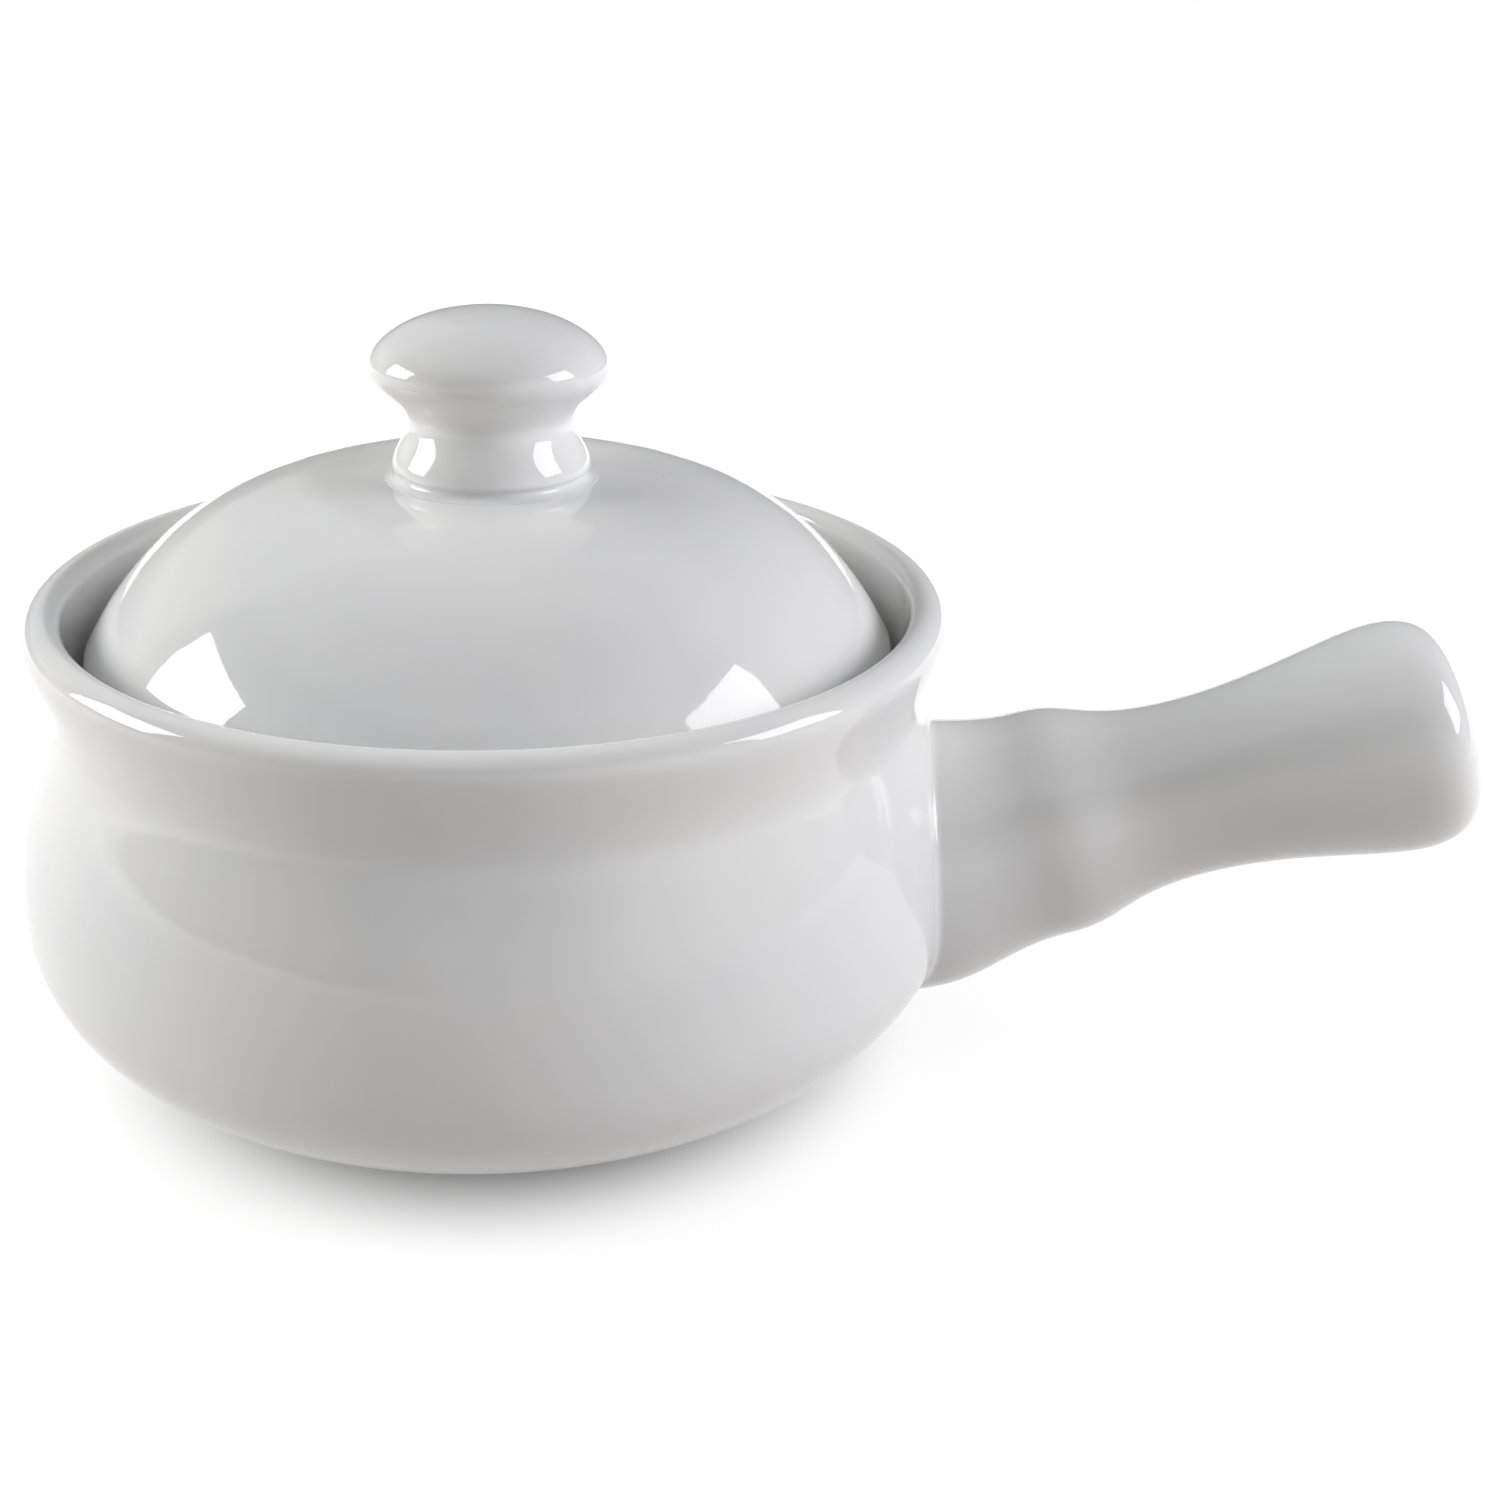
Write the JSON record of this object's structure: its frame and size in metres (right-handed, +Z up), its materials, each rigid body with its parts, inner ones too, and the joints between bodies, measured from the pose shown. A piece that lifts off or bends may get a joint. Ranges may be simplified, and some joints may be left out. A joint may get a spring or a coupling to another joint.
{
  "type": "lidded soup crock with a stick handle",
  "caption": "Round-bellied glazed soup crock with a flared lip, a stick handle at the side and a domed lid with a mushroom knob that lifts off its inner ledge.",
  "frame": {"origin": "on the bowl's axis, in the plane of the foot ring that the crock stands on", "axes": "+Z up along the bowl's axis, +X along the handle seen from above, XZ is the mirror plane"},
  "size_m": [0.2148, 0.1398, 0.1117],
  "materials": {
    "white_glaze": "gloss"
  },
  "bodies": {
    "crock": {"bowl": "white_glaze", "handle": "white_glaze"},
    "lid": {"lid": "white_glaze", "lid_knob": "white_glaze"}
  },
  "joints": [
    {"name": "lid_lift", "type": "slide", "parent": "crock", "child": "lid", "axis": [0, 0, 1], "range_m": [0, 0.09]}
  ]
}
